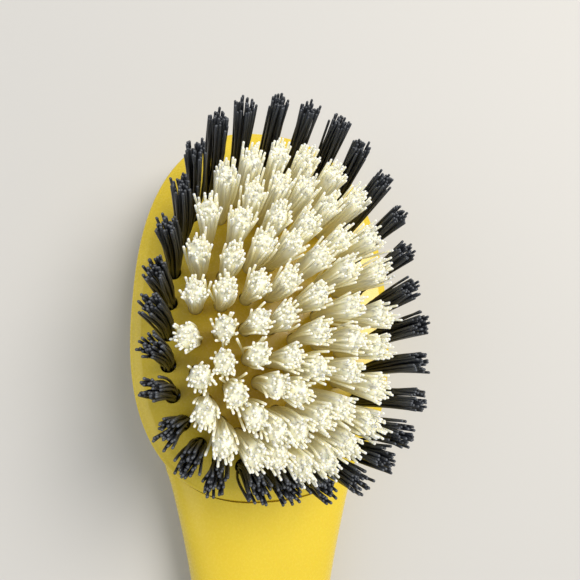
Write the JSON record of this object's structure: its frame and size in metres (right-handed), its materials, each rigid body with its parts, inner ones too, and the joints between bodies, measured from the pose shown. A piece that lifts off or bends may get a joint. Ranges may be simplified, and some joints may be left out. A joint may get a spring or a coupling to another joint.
{
  "type": "dish brush",
  "caption": "Oval tufted hand brush: a moulded plastic handle with a hang hole, and a domed tuft plate let into its head with a ring of dark tufts round pale ones",
  "frame": {"origin": "on the surface that the brush's back lies on, under the middle of its outline", "axes": "+X across the head, +Y towards the head's tip, +Z the way the bristles point"},
  "size_m": [0.0592, 0.236, 0.0419],
  "materials": {
    "handle": "gloss",
    "plate": "gloss",
    "black_bristle": "satin",
    "white_bristle": "satin",
    "anchor_wire": "bright drawn wire"
  },
  "bodies": {
    "root": {"handle": "handle", "tuft_plate": "plate", "black_tuft_01": "black_bristle", "black_tuft_02": "black_bristle", "black_tuft_03": "black_bristle", "black_tuft_04": "black_bristle", "black_tuft_05": "black_bristle", "black_tuft_06": "black_bristle", "black_tuft_07": "black_bristle", "black_tuft_08": "black_bristle", "black_tuft_09": "black_bristle", "black_tuft_10": "black_bristle", "black_tuft_11": "black_bristle", "black_tuft_12": "black_bristle", "black_tuft_13": "black_bristle", "black_tuft_14": "black_bristle", "black_tuft_15": "black_bristle", "black_tuft_16": "black_bristle", "black_tuft_17": "black_bristle", "black_tuft_18": "black_bristle", "black_tuft_19": "black_bristle", "black_tuft_20": "black_bristle", "black_tuft_21": "black_bristle", "black_tuft_22": "black_bristle", "black_tuft_23": "black_bristle", "black_tuft_24": "black_bristle", "black_tuft_25": "black_bristle", "black_tuft_26": "black_bristle", "black_tuft_27": "black_bristle", "black_tuft_28": "black_bristle", "black_tuft_29": "black_bristle", "white_tufts_ring_1": "white_bristle", "white_tufts_ring_2": "white_bristle", "white_tufts_ring_3": "white_bristle", "white_tufts_row": "white_bristle", "black_anchors": "anchor_wire", "white_anchors_ring_1": "anchor_wire", "white_anchors_ring_2": "anchor_wire", "white_anchors_ring_3": "anchor_wire", "white_anchors_row": "anchor_wire"}
  },
  "joints": []
}
